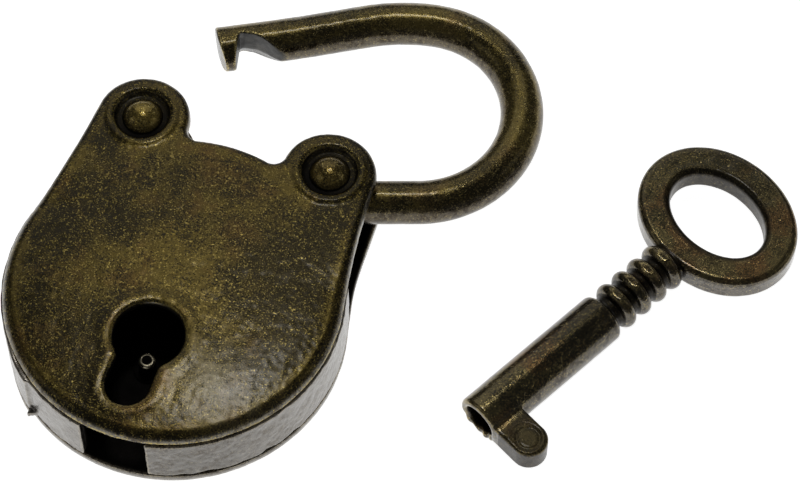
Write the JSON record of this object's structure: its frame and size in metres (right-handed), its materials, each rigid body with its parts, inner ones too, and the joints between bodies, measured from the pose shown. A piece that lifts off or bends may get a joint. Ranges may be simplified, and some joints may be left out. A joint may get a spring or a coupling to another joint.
{
  "type": "padlock",
  "caption": "Small round-bodied warded padlock with two eared lobes, a hinged round shackle swung open, and its hollow barrel key lying beside it.",
  "frame": {"origin": "centre of the round case on its back face", "axes": "+Z comes out of the front face, +Y points to the ears, +X to the ear that holds the hinge"},
  "size_m": [0.0644, 0.0521, 0.0083],
  "materials": {
    "cover_bronze": "antique bronze plating, rubbed bright on the rim and darkened in the recesses",
    "wall_bronze": "antique bronze plating over a cast wall, greyer than the cover",
    "rivet_bronze": "antique bronze plating, polished on the crown of each head",
    "shackle_bronze": "antique bronze plating with grey metal on the cut faces of the nose",
    "key_bronze": "antique bronze plating with warm reddish rubbed areas",
    "pin_steel": "bright worn tip",
    "works_steel": "dark oiled steel"
  },
  "bodies": {
    "case": {"front_cover": "cover_bronze", "back_plate": "wall_bronze", "wall_left": "wall_bronze", "wall_right": "wall_bronze", "wall_top": "wall_bronze", "hinge_rivet": "rivet_bronze", "ear_stud": "rivet_bronze", "hinge_washer_back": "works_steel", "hinge_washer_front": "works_steel", "key_pin": "pin_steel", "case_rivet_left": "works_steel", "case_rivet_right": "works_steel", "case_rivet_top": "works_steel", "bolt_guide_left": "works_steel", "bolt_guide_right": "works_steel", "bolt_spring": "works_steel"},
    "shackle": {"shackle": "shackle_bronze"},
    "bolt": {"bolt": "works_steel"},
    "key": {"key": "key_bronze"}
  },
  "joints": [
    {"name": "shackle_hinge", "type": "hinge", "parent": "case", "child": "shackle", "pos_m": [0.00884, 0.01518, 0.0038], "axis": [0, 0, 1], "range_deg": [-58, 59.35]},
    {"name": "bolt_slide", "type": "slide", "parent": "case", "child": "bolt", "axis": [-1, 0, 0], "range_m": [0, 0.0023]},
    {"name": "key_lift", "type": "slide", "parent": "case", "child": "key", "axis": [0, 0, 1], "range_m": [0, 0.05]}
  ]
}
